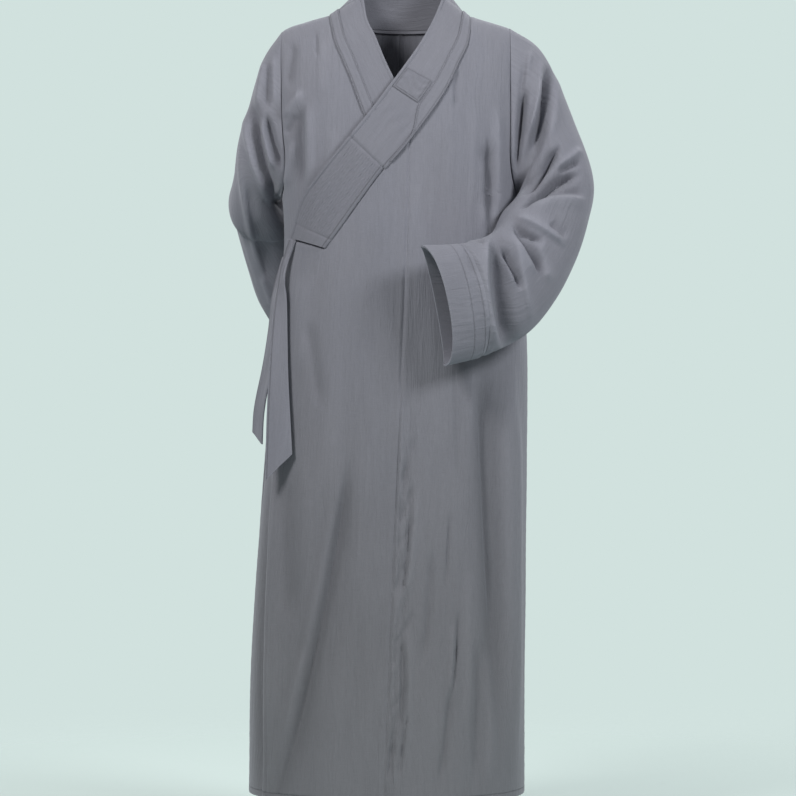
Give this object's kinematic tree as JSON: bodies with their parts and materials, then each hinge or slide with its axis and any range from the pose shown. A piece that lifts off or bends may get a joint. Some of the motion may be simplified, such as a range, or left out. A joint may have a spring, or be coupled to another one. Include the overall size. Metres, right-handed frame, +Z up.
{
  "type": "buddhist monk robe",
  "caption": "Long cross-collar robe of grey-blue cotton in worn form: wrapped front with side ties, quilted collar band, wide sleeves, one bent across the front and one behind the back",
  "frame": {"origin": "between the shoulders, level with the points where the collar seam crosses the shoulder line", "axes": "+Z up, the robe's front faces -Y, the wearer's left is +X"},
  "size_m": [0.5989, 0.4662, 1.3211],
  "materials": {
    "back_left": "plain-woven grey-blue cotton with a fine lengthwise crinkle, matte",
    "back_right": "plain-woven grey-blue cotton with a fine lengthwise crinkle, matte",
    "collar_band": "plain-woven grey-blue cotton, quilted with parallel stitching, matte",
    "collar_border": "plain-woven grey-blue cotton, quilted with parallel stitching, matte",
    "collar_end": "plain-woven grey-blue cotton, quilted with parallel stitching, matte",
    "collar_patch": "plain-woven grey-blue cotton, quilted with parallel stitching, matte",
    "cuff_left": "plain-woven grey-blue cotton, turned up and stitched, matte",
    "cuff_right": "plain-woven grey-blue cotton, turned up and stitched, matte",
    "front_left": "plain-woven grey-blue cotton with a fine lengthwise crinkle, matte",
    "front_overlap": "plain-woven grey-blue cotton with a fine lengthwise crinkle, matte",
    "front_under": "plain-woven grey-blue cotton with a fine lengthwise crinkle, matte",
    "sleeve_left": "plain-woven grey-blue cotton with a fine lengthwise crinkle, matte",
    "sleeve_right": "plain-woven grey-blue cotton with a fine lengthwise crinkle, matte",
    "tie_back": "plain-woven grey-blue cotton, folded double and edge-stitched, matte",
    "tie_front": "plain-woven grey-blue cotton, folded double and edge-stitched, matte"
  },
  "bodies": {
    "root": {"back_left": "back_left", "back_right": "back_right", "collar_band": "collar_band", "collar_border": "collar_border", "collar_end": "collar_end", "collar_patch": "collar_patch", "cuff_left": "cuff_left", "cuff_right": "cuff_right", "front_left": "front_left", "front_overlap": "front_overlap", "front_under": "front_under", "sleeve_left": "sleeve_left", "sleeve_right": "sleeve_right", "tie_back": "tie_back", "tie_front": "tie_front"}
  },
  "joints": []
}
